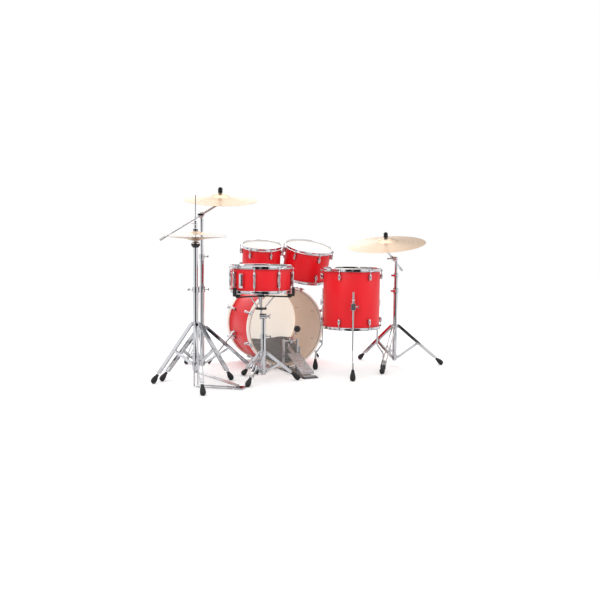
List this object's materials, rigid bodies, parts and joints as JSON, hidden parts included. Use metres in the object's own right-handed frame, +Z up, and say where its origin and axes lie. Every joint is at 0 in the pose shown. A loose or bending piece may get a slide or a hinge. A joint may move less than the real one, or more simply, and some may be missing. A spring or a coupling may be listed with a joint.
{
  "type": "acoustic drum kit",
  "caption": "Acoustic drum kit: bass drum, rack toms, floor tom and snare with a hi-hat, a crash and a ride cymbal on chrome stands, and a kick pedal.",
  "frame": {"origin": "middle of the footprint of the whole kit, on the floor", "axes": "+Z up, +Y along the bass drum from its batter head to its front head, +X to the seated drummer's right"},
  "size_m": [1.9833, 1.0673, 1.1602],
  "materials": {
    "red_lacquer": "satin coral-red lacquer outside, natural maple inside",
    "pale_hoop": "pale gloss lacquer over maple",
    "clear_head": "clear polyester film",
    "white_head": "coated white polyester film",
    "bronze": "lathed and polished bronze",
    "chrome": "mirror chrome plate",
    "rubber": "matt black moulded rubber",
    "grey_felt": "dark grey felt"
  },
  "bodies": {
    "root": {"bass_shell": "red_lacquer", "bass_hoops": "pale_hoop", "bass_batter_head": "clear_head", "bass_front_head": "white_head", "bass_lugs": "chrome", "bass_claws": "chrome", "bass_mount_brackets": "chrome", "bass_pillow": "grey_felt", "floor_tom_shell": "red_lacquer", "floor_tom_hoops": "chrome", "floor_tom_heads": "white_head", "floor_tom_fittings": "chrome", "hihat_base": "chrome", "crash_base": "chrome", "ride_base": "chrome", "snare_base": "chrome", "stand_feet": "rubber", "kick_frame": "chrome"},
    "hihat_pedal": {"hihat_footboard": "chrome"},
    "hihat_height": {"hihat_upper_tube": "chrome", "hihat_bottom_cymbal": "bronze"},
    "hihat_pull": {"hihat_pull_rod": "chrome", "hihat_top_cymbal": "bronze"},
    "crash_middle": {"crash_middle_tube": "chrome"},
    "crash_top": {"crash_top_tube": "chrome"},
    "crash_clamp": {"crash_clamp": "chrome"},
    "crash_boom": {"crash_boom": "chrome"},
    "crash_tilter": {"crash_tilter": "chrome"},
    "crash_cymbal": {"crash_cymbal": "bronze"},
    "ride_middle": {"ride_middle_tube": "chrome"},
    "ride_top": {"ride_top_tube": "chrome"},
    "ride_clamp": {"ride_clamp": "chrome"},
    "ride_boom": {"ride_boom": "chrome"},
    "ride_tilter": {"ride_tilter": "chrome"},
    "ride_cymbal": {"ride_cymbal": "bronze"},
    "snare_height": {"snare_upper_tube": "chrome"},
    "snare_drum": {"snare_basket": "chrome", "snare_shell": "red_lacquer", "snare_hoops": "chrome", "snare_heads": "white_head", "snare_lugs": "chrome", "snare_strainer": "chrome"},
    "snare_lever": {"snare_lever": "chrome"},
    "kick_board": {"kick_footboard": "chrome"},
    "kick_beater": {"kick_beater": "chrome"},
    "spur_left": {"bass_spur_left": "chrome"},
    "spur_right": {"bass_spur_right": "chrome"},
    "floor_tom_leg_1": {"floor_tom_leg_1": "chrome"},
    "floor_tom_leg_2": {"floor_tom_leg_2": "chrome"},
    "floor_tom_leg_3": {"floor_tom_leg_3": "chrome"},
    "tom10_arm": {"tom10_arm": "chrome"},
    "tom10_drum": {"tom10_shell": "red_lacquer", "tom10_hoops": "chrome", "tom10_heads": "white_head", "tom10_lugs": "chrome"},
    "tom12_arm": {"tom12_arm": "chrome"},
    "tom12_drum": {"tom12_shell": "red_lacquer", "tom12_hoops": "chrome", "tom12_heads": "white_head", "tom12_lugs": "chrome"}
  },
  "joints": [
    {"name": "hihat_pedal_hinge", "type": "hinge", "parent": "root", "child": "hihat_pedal", "pos_m": [-0.57361, -0.40968, 0.016], "axis": [-0.6225, -0.7826, 0], "range_deg": [0, 2.12], "stiffness_Nm_per_rad": 4, "springref_deg": -28.65},
    {"name": "hihat_height_slide", "type": "slide", "parent": "root", "child": "hihat_height", "axis": [0, 0, 1], "range_m": [-0.06, 0.06]},
    {"name": "hihat_pull_slide", "type": "slide", "parent": "hihat_height", "child": "hihat_pull", "axis": [0, 0, -1], "range_m": [0, 0.0093], "stiffness_N_per_m": 1200, "springref_m": -0.02},
    {"name": "crash_middle_slide", "type": "slide", "parent": "root", "child": "crash_middle", "axis": [0, 0, 1], "range_m": [-0.06, 0.08]},
    {"name": "crash_top_slide", "type": "slide", "parent": "crash_middle", "child": "crash_top", "axis": [0, 0, 1], "range_m": [-0.05, 0.08]},
    {"name": "crash_boom_hinge", "type": "hinge", "parent": "crash_top", "child": "crash_clamp", "pos_m": [-0.6107, 0.1377, 0.99], "axis": [-0.4147, -0.91, 0], "range_deg": [-10, 12]},
    {"name": "crash_boom_slide", "type": "slide", "parent": "crash_clamp", "child": "crash_boom", "axis": [0.7759, -0.3536, 0.5225], "range_m": [-0.04, 0.03]},
    {"name": "crash_tilter_hinge", "type": "hinge", "parent": "crash_boom", "child": "crash_tilter", "pos_m": [-0.51591, 0.06813, 1.06054], "axis": [0.4147, 0.91, 0], "range_deg": [-10, 10]},
    {"name": "crash_cymbal_swing", "type": "hinge", "parent": "crash_tilter", "child": "crash_cymbal", "pos_m": [-0.51395, 0.06733, 1.12103], "axis": [-0.4147, -0.91, 0], "range_deg": [-6, 6], "stiffness_Nm_per_rad": 3},
    {"name": "ride_middle_slide", "type": "slide", "parent": "root", "child": "ride_middle", "axis": [0, 0, 1], "range_m": [-0.01, 0.08]},
    {"name": "ride_top_slide", "type": "slide", "parent": "ride_middle", "child": "ride_top", "axis": [0, 0, 1], "range_m": [-0.01, 0.08]},
    {"name": "ride_boom_hinge", "type": "hinge", "parent": "ride_top", "child": "ride_clamp", "pos_m": [0.6583, -0.0913, 0.719], "axis": [-0.5948, 0.8039, 0], "range_deg": [-5, 12]},
    {"name": "ride_boom_slide", "type": "slide", "parent": "ride_clamp", "child": "ride_boom", "axis": [-0.7225, -0.5346, 0.4384], "range_m": [-0.03, 0.03]},
    {"name": "ride_tilter_hinge", "type": "hinge", "parent": "ride_boom", "child": "ride_tilter", "pos_m": [0.52481, -0.16022, 0.79133], "axis": [0.5948, -0.8039, 0], "range_deg": [-5, 10]},
    {"name": "ride_cymbal_swing", "type": "hinge", "parent": "ride_tilter", "child": "ride_cymbal", "pos_m": [0.5225, -0.18015, 0.85588], "axis": [-0.5948, 0.8039, 0], "range_deg": [-6, 6], "stiffness_Nm_per_rad": 3},
    {"name": "snare_height_slide", "type": "slide", "parent": "root", "child": "snare_height", "axis": [0, 0, 1], "range_m": [-0.03, 0.08]},
    {"name": "snare_basket_tilt", "type": "hinge", "parent": "snare_height", "child": "snare_drum", "pos_m": [-0.3507, -0.2483, 0.388], "axis": [0.91, -0.4147, 0], "range_deg": [-8, 8]},
    {"name": "snare_throw_off", "type": "hinge", "parent": "snare_drum", "child": "snare_lever", "pos_m": [-0.53308, -0.34407, 0.582], "axis": [0.515, -0.8572, 0], "range_deg": [0, 80]},
    {"name": "kick_board_hinge", "type": "hinge", "parent": "root", "child": "kick_board", "pos_m": [-0.0557, -0.2493, 0.024], "axis": [-1, 0, 0], "range_deg": [0, 11.4]},
    {"name": "kick_beater_hinge", "type": "hinge", "parent": "root", "child": "kick_beater", "pos_m": [-0.0557, 0.0237, 0.19], "axis": [-1, 0, 0], "range_deg": [0, 71.5], "stiffness_Nm_per_rad": 0.6, "springref_deg": -80.21},
    {"name": "spur_left_hinge", "type": "hinge", "parent": "root", "child": "spur_left", "pos_m": [-0.30719, 0.3977, 0.20603], "axis": [0.9691, 0, 0.2465], "range_deg": [0, 70]},
    {"name": "spur_right_hinge", "type": "hinge", "parent": "root", "child": "spur_right", "pos_m": [0.19579, 0.3977, 0.20603], "axis": [0.9691, 0, -0.2465], "range_deg": [0, 70]},
    {"name": "floor_tom_leg_1_slide", "type": "slide", "parent": "root", "child": "floor_tom_leg_1", "axis": [0, 0, 1], "range_m": [0, 0.06]},
    {"name": "floor_tom_leg_2_slide", "type": "slide", "parent": "root", "child": "floor_tom_leg_2", "axis": [0, 0, 1], "range_m": [0, 0.06]},
    {"name": "floor_tom_leg_3_slide", "type": "slide", "parent": "root", "child": "floor_tom_leg_3", "axis": [0, 0, 1], "range_m": [0, 0.06]},
    {"name": "tom10_arm_slide", "type": "slide", "parent": "root", "child": "tom10_arm", "axis": [0, 0, 1], "range_m": [-0.004, 0.06]},
    {"name": "tom10_tilt", "type": "hinge", "parent": "tom10_arm", "child": "tom10_drum", "pos_m": [-0.08559, 0.36784, 0.74221], "axis": [1, 0, 0], "range_deg": [-5, 4]},
    {"name": "tom12_arm_slide", "type": "slide", "parent": "root", "child": "tom12_arm", "axis": [0, 0, 1], "range_m": [-0.004, 0.06]},
    {"name": "tom12_tilt", "type": "hinge", "parent": "tom12_arm", "child": "tom12_drum", "pos_m": [0.04795, 0.33763, 0.73371], "axis": [1, 0, 0], "range_deg": [-5, 4]}
  ],
  "couplings": [
    {"joint": "hihat_pull_slide", "follows": "hihat_pedal_hinge", "m_per_rad": 0.248},
    {"joint": "kick_beater_hinge", "follows": "kick_board_hinge", "ratio": 6.26}
  ]
}
